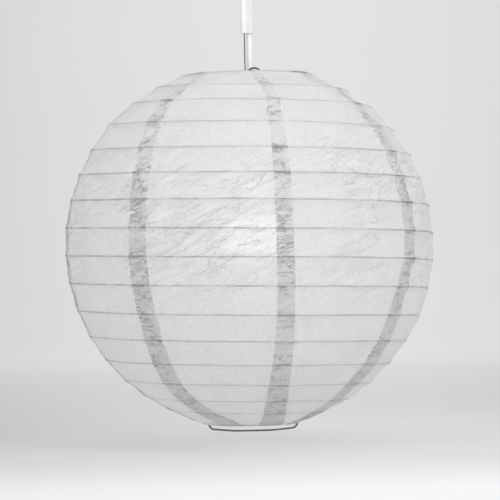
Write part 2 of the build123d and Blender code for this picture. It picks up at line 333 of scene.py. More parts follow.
@dataclass(frozen=True)
class Tissue:
    """Thin white tissue paper, glued over the wire."""

    name: str = "tissue paper"
    bright: Triple = (0.93, 0.93, 0.93)
    shaded: Triple = (0.75, 0.75, 0.755)
    lap_glue_and_shade: Triple = (0.685, 0.685, 0.69)
    wire_shade: Triple = (0.30, 0.30, 0.31)
    crease: Triple = (0.36, 0.36, 0.37)
    edge_highlight: Triple = (0.99, 0.99, 0.99)
    fold_highlight: Triple = (0.98, 0.98, 0.98)
    white: Triple = (1.0, 1.0, 1.0)
    through: float = 0.50
    scatter: float = 0.014
    relief: float = 0.0038
    # Heights in metres at which the wire and its painted shadow show most and at which the paper is creased
    # most, with the most painted crease shade
    wire_z: float = -0.350
    crease_z: float = -0.302

    def wire_and_painted_shadow(self, n: Nodes, height: Val, patchy: Val) -> "tuple[Val, Val]":
        """Find where the wire shows through, with its painted shadow.

        Args:
            n: the material's nodes.
            height: height of the surface in metres.
            patchy: noise from 0 to 1 that breaks the line up.

        Returns:
            How much the wire and its painted shadow show, and the distance below it in millimetres.
        """
        share = (n.attribute("turn") + (n.noise(13.0, 3.0) - 0.5) * 0.07).fraction()
        below, above = share * n.attribute("pitch"), (1.0 - share) * n.attribute("pitch")
        # The painted shadow of the wire is strongest near wire_z and weaker above and below
        middle = (height - self.wire_z).size().spread(0.06, 0.17, 1.0, 0.25)
        line = below.least(above).spread(0.35, 1.15, 1.0, 0.0)
        return line * (0.22 + patchy * 0.78) * (0.34 + middle * 0.66), below

    def make(self) -> bpy.types.Material:
        """Build the material.

        Returns:
            The tissue, the wire with its painted shadow, and creases with painted shade and painted
            highlights, in its own shader.
        """
        n = Nodes(self.name)
        fibre = n.noise(420.0, 4.0, 0.7)
        speck = n.noise(620.0, 3.0, 0.7)
        cloud = n.noise(22.0, 3.0, 0.55)
        patchy = n.noise(30.0, 3.0, 0.6).spread(0.36, 0.62)
        height = n.along("Z")
        wire, below = self.wire_and_painted_shadow(n, height, patchy)
        # Overlap of two strips, with a frayed edge; its darker colour is partly glue and partly painted
        # shade, darker toward the bottom
        lap = n.attribute("lap") + (n.noise(170.0, 3.0, 0.65) - 0.5) * 2.6
        strip = lap.spread(-0.7, 0.3, 1.0, 0.0, Blend.STRAIGHT)
        cut_edge = (lap - 0.6).size().spread(0.2, 1.0, 1.0, 0.0)
        lap_shade_by_height = height.spread(-0.42, -0.19, 1.0, 0.40, Blend.STRAIGHT)
        # Painted highlight beside the wire and painted shadow just below it
        beside = (below - 1.9).size().spread(0.2, 1.2, 1.0, 0.0)
        shadow_below_wire = (below * 0.35).most(0.0).spread(0.15, 1.6, 1.0, 0.0)
        shadow_below_wire = shadow_below_wire * n.noise(60.0, 3.0, 0.6).spread(0.46, 0.60)
        # Creases that lean to one side, with painted shade in them and painted highlights on their ridges
        busy = (height - self.crease_z).size().spread(0.055, 0.115, 1.0, 0.16)
        patch = n.noise(11.0, 2.0, 0.5).spread(0.38, 0.58) * busy
        streak = n.noise(105.0, 3.0, 0.65, n.stretched((0.30, 0.42, 2.1), 23.0))
        slant = n.ridges(58.0, 0.014, n.stretched((0.38, 0.5, 1.8), 24.0))
        bright_slant = n.ridges(64.0, 0.022, n.stretched((0.36, 0.5, 1.8), 16.0))
        crackle = n.ridges(120.0, 0.030)
        cross = n.ridges(92.0, 0.030, n.stretched((0.42, 0.42, 1.7), 6.0))
        cross = cross * n.noise(38.0, 2.0).spread(0.42, 0.54)
        base = n.tint((fibre * 0.75 + cloud * 0.25).spread(0.34, 0.64), self.shaded, self.bright)
        layers = [
            # Overlap: tone of the glue and painted shade of the double layer, darker toward the bottom
            (strip * lap_shade_by_height * (0.35 + cloud * 0.5 + (fibre - 0.5) * 1.4), self.lap_glue_and_shade),
            # Painted shade and painted highlight on the two sides of the folds
            ((streak - 0.53).most(0.0) * patch * 2.2, self.crease),
            ((0.48 - streak).most(0.0) * patch * 5.5, self.white),
            # Painted highlights beside the wire and along the cut edge of the overlap
            (beside * 0.55 * patchy, self.edge_highlight),
            (cut_edge * 0.5 * patchy, self.edge_highlight),
            # Painted shade in the creases and cracks, stronger on the overlaps, and painted highlights along
            # the folds
            (slant * patch * 0.46 + crackle * (0.06 + strip * 0.38), self.crease),
            (bright_slant * patch * 0.55, self.fold_highlight),
            # Painted shade in the cross creases and painted shadow below the wire, both on the overlaps
            (strip * (cross * 0.70 + shadow_below_wire * 0.62), self.crease),
            # The wire seen through the paper with its painted shadow, darker on the overlaps
            (wire * (0.60 + strip * 0.35), self.wire_shade),
        ]
        for share, colour in layers:
            base = n.tint(share, base, colour)
        fold = n.noise(90.0, 4.0, 0.6, n.stretched((0.42, 0.5, 1.8), 20.0)) * (0.45 + busy * 0.55)
        raised = fold * 0.55 + fibre * 0.2 + slant * patch * 0.25 + strip * cross * 0.3
        normal = n.bump(raised, self.relief, 0.8)
        skin = {"Base Color": base, "Roughness": 0.86, "Specular IOR Level": 0.18, "Normal": normal}
        front = n.add("ShaderNodeBsdfPrincipled", None, skin)
        back = n.add("ShaderNodeBsdfTranslucent", None, {"Color": (0.90, 0.90, 0.90, 1.0)})
        share = self.through - wire * 0.35 - strip * 0.08
        paper = n.add("ShaderNodeMixShader", None, {0: share, 1: front, 2: back})
        soft = {"Color": (*self.white, 1.0), "Roughness": 0.55, "IOR": 1.14, "Normal": normal}
        spread = n.add("ShaderNodeBsdfRefraction", None, soft)
        seen = speck.spread(0.42, 0.62, 0.05, 2.6) * self.scatter * (1.0 - strip * 0.6) * (1.0 - wire)
        return n.finish(n.add("ShaderNodeMixShader", None, {0: seen, 1: paper, 2: spread}))


@dataclass(frozen=True)
class Metal:
    """Drawn, plated or pressed metal with fine scratches along Z."""

    name: str
    colour: Triple
    dull: Triple
    rough: float
    grain: float = 900.0
    pit: float = 0.00005

    def make(self) -> bpy.types.Material:
        """Build the material.

        Returns:
            The metal.
        """
        n = Nodes(self.name)
        drawn = n.noise(self.grain, 3.0, 0.6, n.stretched((1.0, 1.0, 0.08)))
        cloud = n.noise(70.0, 3.0, 0.6)
        base = n.tint((drawn * 0.5 + cloud * 0.5).spread(0.35, 0.65), self.dull, self.colour)
        rough = self.rough + (drawn - 0.5) * 0.25 + (cloud - 0.5) * 0.15
        skin = {"Base Color": base, "Metallic": 1.0, "Roughness": rough, "Normal": n.bump(drawn, self.pit)}
        return n.finish(n.add("ShaderNodeBsdfPrincipled", None, skin))


@dataclass(frozen=True)
class Moulded:
    """Moulded plastic, rubber or ceramic with a fine texture."""

    name: str
    colour: Triple
    second: Triple
    rough: float
    grain: float = 1500.0
    depth: float = 0.00006
    specular: float = 0.5

    def make(self) -> bpy.types.Material:
        """Build the material.

        Returns:
            The plastic.
        """
        n = Nodes(self.name)
        grain = n.noise(self.grain, 2.0, 0.5)
        cloud = n.noise(45.0, 4.0, 0.6)
        base = n.tint(cloud.spread(0.3, 0.7), self.second, self.colour)
        rough = self.rough + (grain - 0.5) * 0.2 + (cloud - 0.5) * 0.12
        skin = {"Base Color": base, "Roughness": rough, "Specular IOR Level": self.specular}
        skin["Normal"] = n.bump(grain, self.depth)
        return n.finish(n.add("ShaderNodeBsdfPrincipled", None, skin))


@dataclass(frozen=True)
class LitPlastic:
    """Frosted plastic that glows, brightest at one height: the dome is the lamp itself, and the collar's glow
    is painted light from the dome.
    """

    name: str
    glow: float
    middle: float
    reach: float
    least: float
    white: Triple = (0.90, 0.90, 0.88)

    def make(self) -> bpy.types.Material:
        """Build the material.

        Returns:
            The glowing plastic.
        """
        n = Nodes(self.name)
        height = n.along("Z")
        off = ((height - self.middle) / self.reach).size()
        frost = n.noise(1200.0, 2.0)
        share = off.spread(0.1, 1.05, 1.0, self.least) * (0.94 + frost * 0.12)
        skin = {"Base Color": (*self.white, 1.0), "Roughness": 0.40 + (frost - 0.5) * 0.1}
        skin["Emission Color"] = n.tint(share, (0.0, 0.0, 0.0), (1.0, 0.985, 0.95))
        skin |= {"Emission Strength": self.glow, "Normal": n.bump(frost, 0.00004)}
        return n.finish(n.add("ShaderNodeBsdfPrincipled", None, skin))


@dataclass(frozen=True)
class Finishes:
    """Every finish of the lantern, made once."""

    tissue: bpy.types.Material
    wire: bpy.types.Material
    zinc: bpy.types.Material
    brass: bpy.types.Material
    nickel: bpy.types.Material
    white: bpy.types.Material
    sheath: bpy.types.Material
    brown: bpy.types.Material
    blue: bpy.types.Material
    steatite: bpy.types.Material
    dome: bpy.types.Material
    collar: bpy.types.Material
    glass: bpy.types.Material

    @classmethod
    def make(cls) -> "Finishes":
        """Build every material.

        Returns:
            The set of finishes.
        """
        return cls(
            tissue=Tissue().make(),
            wire=Metal("drawn steel wire", (0.20, 0.20, 0.205), (0.09, 0.09, 0.095), 0.36).make(),
            zinc=Metal("zinc plate", (0.70, 0.71, 0.72), (0.52, 0.53, 0.55), 0.38).make(),
            brass=Metal("plain brass", (0.80, 0.62, 0.30), (0.60, 0.44, 0.20), 0.30).make(),
            nickel=Metal("nickel plate", (0.76, 0.74, 0.70), (0.60, 0.58, 0.55), 0.24).make(),
            white=Moulded("white moulded plastic", (0.92, 0.92, 0.915), (0.87, 0.87, 0.865), 0.42).make(),
            sheath=Moulded("white cable sheath", (0.95, 0.95, 0.95), (0.90, 0.90, 0.90), 0.40, 700.0).make(),
            brown=Moulded("brown core sheath", (0.20, 0.09, 0.04), (0.15, 0.07, 0.03), 0.45).make(),
            blue=Moulded("blue core sheath", (0.04, 0.11, 0.34), (0.03, 0.08, 0.26), 0.45).make(),
            steatite=Moulded("steatite", (0.80, 0.78, 0.74), (0.72, 0.70, 0.66), 0.6, 2200.0, 0.0001).make(),
            dome=LitPlastic("lit frosted dome", 9.0, -0.3358, 0.030, 0.5).make(),
            # The bulb's housing is no lamp: its glow is painted light from the dome
            collar=LitPlastic("lit collar", 3.0, -0.3245, 0.030, 0.0, (0.83, 0.83, 0.82)).make(),
            glass=Moulded("dark glass", (0.02, 0.02, 0.02), (0.05, 0.04, 0.06), 0.12, 400.0).make(),
        )


# ------------------------------------------------------------- making pieces


def dress(node: str, material: bpy.types.Material) -> None:
    """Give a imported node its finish.

    Args:
        node: the node's name.
        material: its material.
    """
    mesh = frame["nodes"][node].data
    mesh.materials.clear()
    mesh.materials.append(material)
    LOG.info("dressed %s", node)


def piece(name: str, points: np.ndarray, faces: list, material: bpy.types.Material,
          smooth: bool = True) -> bpy.types.Object:
    """Make a mesh object at the origin from points and faces.

    Args:
        name: the piece's name.
        points: one row of x, y, z to each point, in metres.
        faces: point numbers of each face.
        material: its finish.
        smooth: whether its faces are shaded smooth.

    Returns:
        The new object.
    """
    mesh = bpy.data.meshes.new(name)
    mesh.from_pydata(points.tolist(), [], faces)
    mesh.polygons.foreach_set("use_smooth", [smooth] * len(mesh.polygons))
    mesh.materials.append(material)
    made = bpy.data.objects.new(name, mesh)
    bpy.context.scene.collection.objects.link(made)
    LOG.info("made %s with %d faces", name, len(faces))
    return made


def settle(made: bpy.types.Object, body: Body, slot: str, *nodes: str) -> bpy.types.Object:
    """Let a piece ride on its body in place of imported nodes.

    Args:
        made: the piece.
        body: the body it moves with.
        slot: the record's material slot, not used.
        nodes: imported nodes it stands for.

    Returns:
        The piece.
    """
    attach(made, body.value)
    if nodes:
        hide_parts(*nodes)
    return made


def grid_faces(rows: int, columns: int) -> list:
    """Quads of a grid of points stored row by row.

    Args:
        rows: rows of points.
        columns: points in a row.

    Returns:
        The quads, facing outward on a grid that runs down and anticlockwise.
    """
    faces = []
    for r in range(rows - 1):
        for c in range(columns - 1):
            here, below = r * columns + c, (r + 1) * columns + c
            faces.append((here, below, below + 1, here + 1))
    return faces


def ripple(points: np.ndarray, wavelength: float, seed: int, stretch: tuple = (1, 1, 1)) -> np.ndarray:
    """Smooth noise as a sum of plane waves with a fixed seed.

    Args:
        points: one row of x, y, z to each point, in millimetres.
        wavelength: middle wavelength in millimetres.
        seed: seed of the waves' directions and phases.
        stretch: how many times longer the features are along each axis.

    Returns:
        One value to each point, mostly from -1 to 1.
    """
    rng = np.random.default_rng(seed)
    total = np.zeros(len(points))
    waves, peak = 22, 1.6
    for _ in range(waves):
        way = rng.normal(size=3)
        way /= np.linalg.norm(way)
        wave = way * 2 * math.pi / (wavelength * rng.uniform(0.7, 1.5)) / np.array(stretch)
        total += np.cos(points @ wave + rng.uniform(0, 2 * math.pi))
    return total / math.sqrt(waves / 2) / peak


# ------------------------------------------------------------------ the shade


@dataclass(frozen=True)
class Spiral:
    """Rule of the one wire that winds down the ball."""

    centre: Triple = (-4.6, -6.5, -344.0)
    seam_deg: float = -79.8
    # Latitude of the wire at the first seam, one to a turn, from the upper hoop down
    latitudes: "tuple[float, ...]" = (68.9, 57.7, 48.8, 38.9, 29.3, 21.0, 12.7, 4.0, -4.4, -13.0,
                                      -22.0, -30.7, -39.5, -48.0, -56.5, -64.8, -75.2)
    # Latitude and distance from the centre of the paper's middle
    profile: "tuple[tuple[float, float], ...]" = ((-75.7, 204.0), (-66, 202.2), (-57, 202.8), (-30, 203.6),
                                                  (25, 203.6), (48, 203.2), (58, 201.2), (69.4, 200.2))
    wire_r: float = 0.5
    gap: float = 0.25
    steps: int = 96

    @property
    def turns(self) -> int:
        """Whole turns of the wire."""
        return len(self.latitudes) - 1

    def latitude(self, turn: np.ndarray) -> np.ndarray:
        """Latitude of the wire after so many turns.

        Args:
            turn: turns from the first seam.

        Returns:
            Latitudes in degrees.
        """
        return np.interp(turn, np.arange(self.turns + 1), self.latitudes)

    def distance(self, lat: np.ndarray) -> np.ndarray:
        """Distance of the paper from the ball's centre.

        Args:
            lat: latitudes in degrees.

        Returns:
            Distances in millimetres.
        """
        lats, far = zip(*self.profile)
        return np.interp(lat, lats, far)


@dataclass(frozen=True)
class Hem:
    """Paper folded over a hoop and glued back inside."""

    hoop_r: float
    hoop_z: float
    start_deg: float
    sweep_deg: float
    flap: "tuple[float, float]"
    wrap_r: float = 1.2
    follow: float = 0.6

    def rows(self) -> "list[tuple[float, float]]":
        """Points (r, z) from the skin round the hoop to the flap's end, in millimetres."""
        last_deg = self.start_deg + self.sweep_deg
        found = arc((self.hoop_r, self.hoop_z), self.wrap_r, self.start_deg, last_deg, 9)
        last = found[-1]
        for share in (0.35, 0.7, 1.0):
            found.append((last[0] + self.flap[0] * share, last[1] + self.flap[1] * share))
        return found


@dataclass(frozen=True)
class Seam:
    """Overlap of two neighbouring strips, which wanders a little off its meridian."""

    wide: float = 18.0
    wider_low: float = 7.0
    slimmer_high: float = 7.0
    # Latitude and the overlap's angle off its meridian, in degrees
    wander: "tuple[tuple[float, float], ...]" = ((-75, 3.0), (-45, 0.0), (0, 0.5), (45, 0.0), (70, -1.5))

    def offset(self, lat: np.ndarray) -> np.ndarray:
        """Angle of the overlap's middle off its meridian.

        Args:
            lat: latitudes in degrees.

        Returns:
            Angles in radians.
        """
        lats, off = zip(*self.wander)
        return np.radians(np.interp(lat, lats, off))

    def half(self, lat: np.ndarray) -> np.ndarray:
        """Half the overlap's width, wider toward the lower hoop and slimmer toward the upper one.

        Args:
            lat: latitudes in degrees.

        Returns:
            Half widths in millimetres.
        """
        low, high = np.clip(-lat / 75, 0, 1) ** 2, np.clip(lat / 70, 0, 1) ** 2
        return (self.wide + self.wider_low * low - self.slimmer_high * high) / 2


FRONT_SEAM = Seam(19.0, 9.0, 8.0, ((-75, 11.5), (-62, 4.5), (-50, 1.9), (0, 0.35), (42, 1.1), (53, 2.8),
                                   (60, 1.0), (69, -1.5)))
LEFT_SEAM = Seam(24.0, 5.0, 7.0, ((-75, 6.6), (-62, -1.0), (-50, -3.2), (-24, -0.5), (7, -0.6), (24, -2.0),
                                  (43, -5.5), (69, -7.0)))
RIGHT_SEAM = Seam(24.0, 5.0, 6.0, ((-75, 5.6), (-50, 0.3), (-19, -0.5), (-13, 0.8), (-5, 2.6), (12, 3.2),
                                   (29, 4.2), (50, 5.8), (69, 4.0)))
SEAMS = (FRONT_SEAM, RIGHT_SEAM, *[Seam()] * 5, LEFT_SEAM)

# Turns the creases' coordinates so that they lean to one side
LEAN = np.array([[0.88, 0, -0.47], [0, 1, 0], [0.47, 0, 0.88]])


@dataclass
class PaperBall:
    """Eight glued strips of tissue on the spiral wire, between two hoops."""

    spiral: Spiral
    finishes: Finishes
    seams: "tuple[Seam, ...]"
    columns: int = 72
    # Where the rows stand between two turns of wire, closer together near the wire
    shares: "tuple[float, ...]" = (0, 0.02, 0.05, 0.1, 0.17, 0.26, 0.36, 0.46, 0.56, 0.66, 0.76, 0.85, 0.92,
                                   0.97)
    # Latitudes of the paper's ends at the hoops
    upper_lat: float = 69.4
    lower_lat: float = -75.7
    # Size of the ball at its girth, its meridian between the hoops and both hems, for the flat sizes
    girth_r: float = 203.6
    meridian_deg: float = 145.0
    hems: float = 20.0
    # How far the lapping edge stands off, over how wide a run, in millimetres
    lift: float = 0.35
    lift_run: float = 3.0
    # Latitude and how far the paper sinks between two turns of wire, in millimetres
    sag: "tuple[tuple[float, float], ...]" = ((-75, 1.0), (-35, 1.2), (5, 2.3), (40, 2.7), (50, 3.0),
                                              (60, 3.2))
    crown: float = 3.2
    full_pitch: float = 30.0
    # Share by which the sag varies, and heights of the creases, ripples and puckers in millimetres
    uneven: float = 0.55
    crease: float = 0.55
    fine: float = 0.16
    pucker: float = 0.40
    upper: Hem = Hem(70.0, 186.3, 68.8, 190.0, (3.4, -1.2))
    lower: Hem = Hem(50.0, -196.6, -67.0, -190.0, (3.2, 1.3))

    def skin(self, index: int) -> "dict[str, np.ndarray]":
        """Lay out one strip as a grid.

        Args:
            index: the strip's number, from 0.

        Returns:
            Latitude, angle from the first seam, turn, pitch, slack, distance past the nearer overlap and
            distance past the first one.
        """
        wide = 2 * math.pi / len(self.seams)
        across = np.linspace(0.0, 1.0, self.columns)
        first, last = self.seams[index], self.seams[(index + 1) % len(self.seams)]
        spiral = self.spiral
        rows = [(band, v) for band in range(spiral.turns + 1) for v in self.shares] + [(spiral.turns, 1.0)]
        band, v = (np.array(column, float)[:, None] for column in zip(*rows))
        angle = (index + across[None, :]) * wide + 0.0 * band
        # The overlaps wander with latitude and the wire drops with angle, so the two are settled in turns
        for _ in range(4):
            a = spiral.latitude(np.clip(band - 1 + angle / (2 * math.pi), 0, spiral.turns))
            b = spiral.latitude(np.clip(band + angle / (2 * math.pi), 0, spiral.turns))
            a = np.where(band == 0, self.upper_lat, a)
            b = np.where(band == spiral.turns, self.lower_lat, b)
            lat = a + (b - a) * v
            radius = spiral.distance(lat) * np.cos(np.radians(lat))
            low = index * wide + first.offset(lat) - first.half(lat) / radius
            high = (index + 1) * wide + last.offset(lat) + last.half(lat) / radius
            angle = low + (high - low) * across
        start = (angle - low) * radius - 2 * first.half(lat)
        into = np.minimum(start, (high - angle) * radius - 2 * last.half(lat))
        pitch = np.radians(np.abs(a - b)) * spiral.distance(lat)
        slack = np.minimum(1.0, pitch / self.full_pitch) * (1 - np.abs(2 * v - 1) ** self.crown)
        return {"lat": lat, "angle": angle, "turn": band + v + 0 * lat, "pitch": pitch, "slack": slack,
                "lap": into, "start": start}

    def build_strip(self, index: int) -> bpy.types.Object:
        """Make one strip with its hems, overlap, sag and creases.

        Args:
            index: the strip's number, from 0.

        Returns:
            The strip.
        """
        grid = self.skin(index)
        lats, slack = grid["lat"], grid["slack"]
        far = self.spiral.distance(lats)
        radius = far * np.cos(np.radians(lats))
        inside = np.clip(grid["start"] / self.lift_run, 0, 1)
        lift = self.lift * (1 - inside * inside * (3 - 2 * inside))
        strip = 1 - np.clip((grid["lap"] + 1.0) / 2.0, 0, 1)
        theta = math.radians(self.spiral.seam_deg) + grid["angle"]
        place = np.stack([radius * np.cos(theta), radius * np.sin(theta), far * np.sin(np.radians(lats))], -1)
        flat = place.reshape(-1, 3)
        broad = ripple(flat, 90.0, seed=3).reshape(lats.shape)
        crease = 1 - np.abs(ripple(flat @ LEAN, 26.0, 5, (2.4, 2.0, 0.7))).reshape(lats.shape)
        fine = ripple(flat @ LEAN, 13.0, 7, (1.8, 1.5, 0.7)).reshape(lats.shape)
        pucker = ripple(flat, 9.0, 11, (3, 3, 1)).reshape(lats.shape)
        free = np.clip(slack * 1.8, 0, 1)
        shift = lift - slack * np.interp(lats, *zip(*self.sag)) * (1 + self.uneven * broad)
        shift += free * (self.crease * np.clip(crease, 0, 1) ** 4 + self.fine * fine)
        shift += free * strip * self.pucker * pucker
        place *= (1 + shift / far)[..., None]
        rows = [self.hem_row(r, z, place[0], self.upper) for r, z in self.upper.rows()[::-1]]
        tail = [self.hem_row(r, z, place[-1], self.lower) for r, z in self.lower.rows()]
        points = np.concatenate([np.array(rows), place, np.array(tail)])
        faces = grid_faces(len(points), self.columns)
        points = (points.reshape(-1, 3) + np.array(self.spiral.centre)) * MM
        made = piece(f"tissue_strip_{index + 1}", points, faces, self.finishes.tissue)
        # A hem shows no wire: it is marked as half way between two turns of the usual pitch
        marks = {"turn": 0.5, "pitch": self.full_pitch, "lap": None}
        for label, hem_value in marks.items():
            values = grid[label]
            top, low = np.repeat(values[:1], len(rows), 0), np.repeat(values[-1:], len(tail), 0)
            if hem_value is not None:
                top, low = np.full_like(top, hem_value), np.full_like(low, hem_value)
            whole = np.concatenate([top, values, low])
            layer = made.data.attributes.new(label, "FLOAT", "POINT")
            layer.data.foreach_set("value", whole.reshape(-1).astype(np.float32))
        return made

    def hem_row(self, r: float, z: float, beside: np.ndarray, hem: Hem) -> np.ndarray:
        """One row of the hem, at the angles of the skin's end row.

        Args:
            r: the row's distance from the axis.
            z: its height.
            beside: the end row of the skin.
            hem: the hem it belongs to.

        Returns:
            The row's points.
        """
        angle = np.arctan2(beside[:, 1], beside[:, 0])
        out = np.hypot(beside[:, 0], beside[:, 1]) - hem.rows()[0][0]
        r = r + out * hem.follow
        return np.stack([r * np.cos(angle), r * np.sin(angle), np.full_like(angle, z)], -1)

    def build_wire(self) -> bpy.types.Object:
        """Wind the spiral wire with Geometry Nodes.

        Returns:
            The wire as a plain mesh.
        """
        return SpiralTree(self.spiral, self.finishes.wire).wind("spiral_wire")

    def build(self) -> None:
        """Make the strips and the wire, and let them ride on the shade."""
        drop = self.upper.hoop_z - self.lower.hoop_z
        fold = next(j for j in frame["joints"] if j["name"] == "fold")
        keep = 1 - fold["range_m"][1] / (drop * MM)
        wire = settle(self.build_wire(), Body.SHADE, "steel_wire", "spiral_rib")
        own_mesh(wire)
        girth = 2 * math.pi * self.girth_r
        long = girth * self.meridian_deg / 360 + self.hems
        for index, seam in enumerate(self.seams):
            made = settle(self.build_strip(index), Body.SHADE, "white_paper", f"paper_gore_{index + 1}")
            wide = girth / len(self.seams) + seam.wide
            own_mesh(made)
            wide * MM
            long * MM
        for hoop in ("top_hoop", "bottom_hoop"):
            dress(hoop, self.finishes.wire)


class SpiralTree(Tree):
    """Geometry Nodes tree that winds a round wire down a ball of given outline."""

    sizes = ("Turns", "Steps", "Wire Radius", "Start Angle", "Wire Inset")

    def __init__(self, spiral: Spiral, material: bpy.types.Material) -> None:
        """Build the tree.

        Args:
            spiral: the rule that the wire follows.
            material: the wire's finish.
        """
        self.spiral = spiral
        self.tree = bpy.data.node_groups.new("wind spiral wire", "GeometryNodeTree")
        face = self.tree.interface
        face.new_socket("Geometry", in_out="OUTPUT", socket_type="NodeSocketGeometry")
        self.ids = {}
        for label in self.sizes:
            kind = "NodeSocketInt" if label == "Steps" else "NodeSocketFloat"
            self.ids[label] = face.new_socket(label, in_out="INPUT", socket_type=kind).identifier
        self.wire(material)

    def curve(self, at: Val, knots: "list[tuple[float, float]]") -> Val:
        """Read a straight-line curve through knots from 0 to 1.

        Args:
            at: where it is read.
            knots: its points.

        Returns:
            The curve's value there.
        """
        made = self.add("ShaderNodeFloatCurve", None, {"Value": at})
        mapping = made.out.node.mapping
        points = mapping.curves[0].points
        while len(points) < len(knots):
            points.new(0.5, 0.5)
        for point, (x, y) in zip(points, knots):
            point.location = (x, y)
            point.handle_type = "VECTOR"
        mapping.update()
        return made

    def wire(self, material: bpy.types.Material) -> None:
        """Lay the line, wind it and give it a round section.

        Args:
            material: the wire's finish.
        """
        spiral = self.spiral
        given = self.add("NodeGroupInput").out.node.outputs
        turns, steps, radius, start, inset = (Val(self, given[label]) for label in self.sizes)
        count = turns * steps
        line = self.add("GeometryNodeMeshLine", None, {"Count": count + 1.0})
        path = self.add("GeometryNodeMeshToCurve", None, {"Mesh": line})
        share = self.add("GeometryNodeInputIndex") / count
        knots = [(k / spiral.turns, lat / 180 + 0.5) for k, lat in enumerate(spiral.latitudes)]
        unit = self.curve(share, knots) - 0.5
        lat = unit * math.pi
        # A curve runs from 0 to 1, so distances are read as shares of one beyond them all
        reach = 250
        out = [(lat_deg / 180 + 0.5, far / reach) for lat_deg, far in spiral.profile]
        out = [(0.0, out[0][1]), *out, (1.0, out[-1][1])]
        far = self.curve(unit + 0.5, out) * (reach * MM) - inset
        angle = share * turns * (2 * math.pi) + start
        flat = far * lat.maths("COSINE")
        parts = (flat * angle.maths("COSINE"), flat * angle.maths("SINE"), far * lat.maths("SINE"))
        moved = [part + place * MM for part, place in zip(parts, spiral.centre)]
        spot = self.add("ShaderNodeCombineXYZ", None, dict(enumerate(moved)))
        wound = self.add("GeometryNodeSetPosition", None, {"Geometry": path, "Position": spot})
        ring = self.add("GeometryNodeCurvePrimitiveCircle", None, {"Resolution": 8, "Radius": radius})
        inputs = {"Curve": wound, "Profile Curve": ring, "Fill Caps": True}
        tube = self.add("GeometryNodeCurveToMesh", None, inputs)
        soft = self.add("GeometryNodeSetShadeSmooth", None, {"Geometry": tube})
        real = self.add("GeometryNodeRealizeInstances", None, {"Geometry": soft})
        painted = self.add("GeometryNodeSetMaterial", None, {"Geometry": real, "Material": material})
        self.add("NodeGroupOutput", None, {0: painted})

    def wind(self, name: str) -> bpy.types.Object:
        """Run the tree on an empty mesh and keep the result as a plain mesh.

        Args:
            name: the new piece's name.

        Returns:
            The wire.
        """
        seat = bpy.data.objects.new(name, bpy.data.meshes.new(name))
        bpy.context.scene.collection.objects.link(seat)
        modifier = seat.modifiers.new("wind", "NODES")
        modifier.node_group = self.tree
        spiral = self.spiral
        values = (float(spiral.turns), spiral.steps, spiral.wire_r * MM, math.radians(spiral.seam_deg),
                  (spiral.gap + spiral.wire_r) * MM)
        for label, value in zip(self.sizes, values):
            modifier[self.ids[label]] = value
        evaluated = seat.evaluated_get(bpy.context.evaluated_depsgraph_get())
        baked = bpy.data.meshes.new_from_object(evaluated)
        seat.modifiers.clear()
        seat.data = baked
        LOG.info("wound %s with %d faces", name, len(baked.polygons))
        return seat


# --------------------------------------------------------- turned small parts


def spun(name: str, outline: "list[tuple[float, float]]", centre_z: float, material: bpy.types.Material,
         steps: int = 96) -> bpy.types.Object:
    """Turn a closed outline about the flex's axis.

    Args:
        name: the piece's name.
        outline: (r, z) points in millimetres, anticlockwise, not repeated at the end.
        centre_z: height added to every z, in millimetres.
        material: its finish.
        steps: segments round the axis.

    Returns:
        The turned piece, closed and facing out.
    """
    rows, points, faces = [], [], []
    for r, z in outline:
        if r < 1e-6:
            rows.append([len(points)])
            points.append((0.0, 0.0, z + centre_z))
            continue
        rows.append(list(range(len(points), len(points) + steps)))
        for k in range(steps):
            a = 2 * math.pi * k / steps
            points.append((r * math.cos(a), r * math.sin(a), z + centre_z))
    for one, two in zip(rows, rows[1:] + rows[:1]):
        if len(one) == 1 and len(two) == 1:
            continue
        for k in range(steps):
            m = (k + 1) % steps
            a, b = (one[0], one[0]) if len(one) == 1 else (one[k], one[m])
            c, d = (two[0], two[0]) if len(two) == 1 else (two[m], two[k])
            face = [p for i, p in enumerate((a, b, c, d)) if p not in (a, b, c, d)[:i]]
            faces.append(face)
    return piece(name, np.array(points) * MM, faces, material)


def arc(centre: "tuple[float, float]", radius: float, first: float, last: float, count: int) -> list:
    """Points on an arc.

    Args:
        centre: its centre (r, z).
        radius: its radius.
        first: first angle in degrees.
        last: last angle in degrees.
        count: number of points.

    Returns:
        The points (r, z).
    """
    found = []
    for a in np.radians(np.linspace(first, last, count)):
        found.append((centre[0] + radius * math.cos(a), centre[1] + radius * math.sin(a)))
    return found


@dataclass
class CeilingRose:
    """Plate, turned cover, terminals and cable clamp at the ceiling."""

    finishes: Finishes
    rim: float = 47.5
    inner: float = 45.4

    def build_cover(self) -> bpy.types.Object:
        """Turn the cover with a rolled rim and a soft shoulder.

        Returns:
            The cover.
        """
        round_r = 0.8
        outline = [(4.1, -28.0), *arc((6.4, -27.2), round_r, -90, 0, 5), (7.3, -26.9)]
        outline += arc((8.4, -26.9), 1.1, 180, 90, 4)[:-1] + [(14.0, -26.1), (26.0, -23.6)]
        outline += arc((31.9, -9.0), 15.6, -68, 0, 12) + arc((self.rim - round_r, -1.4), round_r, 0, 90, 5)
        outline += [(self.inner, -0.6), (self.inner, -8.6), (43.3, -13.9), (37.8, -18.7), (25.0, -21.4)]
        outline += [(13.6, -24.2), (4.1, -25.0)]
        return spun("turned_cover", outline, 0.0, self.finishes.white)

    def build(self) -> None:
        """Make the cover and dress the rest."""
        settle(self.build_cover(), Body.COVER, "white_plastic", "rose_cover")
        for node in ("rose_base", "terminal_block", "cord_clamp"):
            dress(node, self.finishes.white)
        for node in ("terminal_screw_left", "terminal_screw_right"):
            dress(node, self.finishes.brass)
        for node in ("clamp_screw_left", "clamp_screw_right"):
            dress(node, self.finishes.zinc)
        dress("core_live", self.finishes.brown)
        dress("core_neutral", self.finishes.blue)


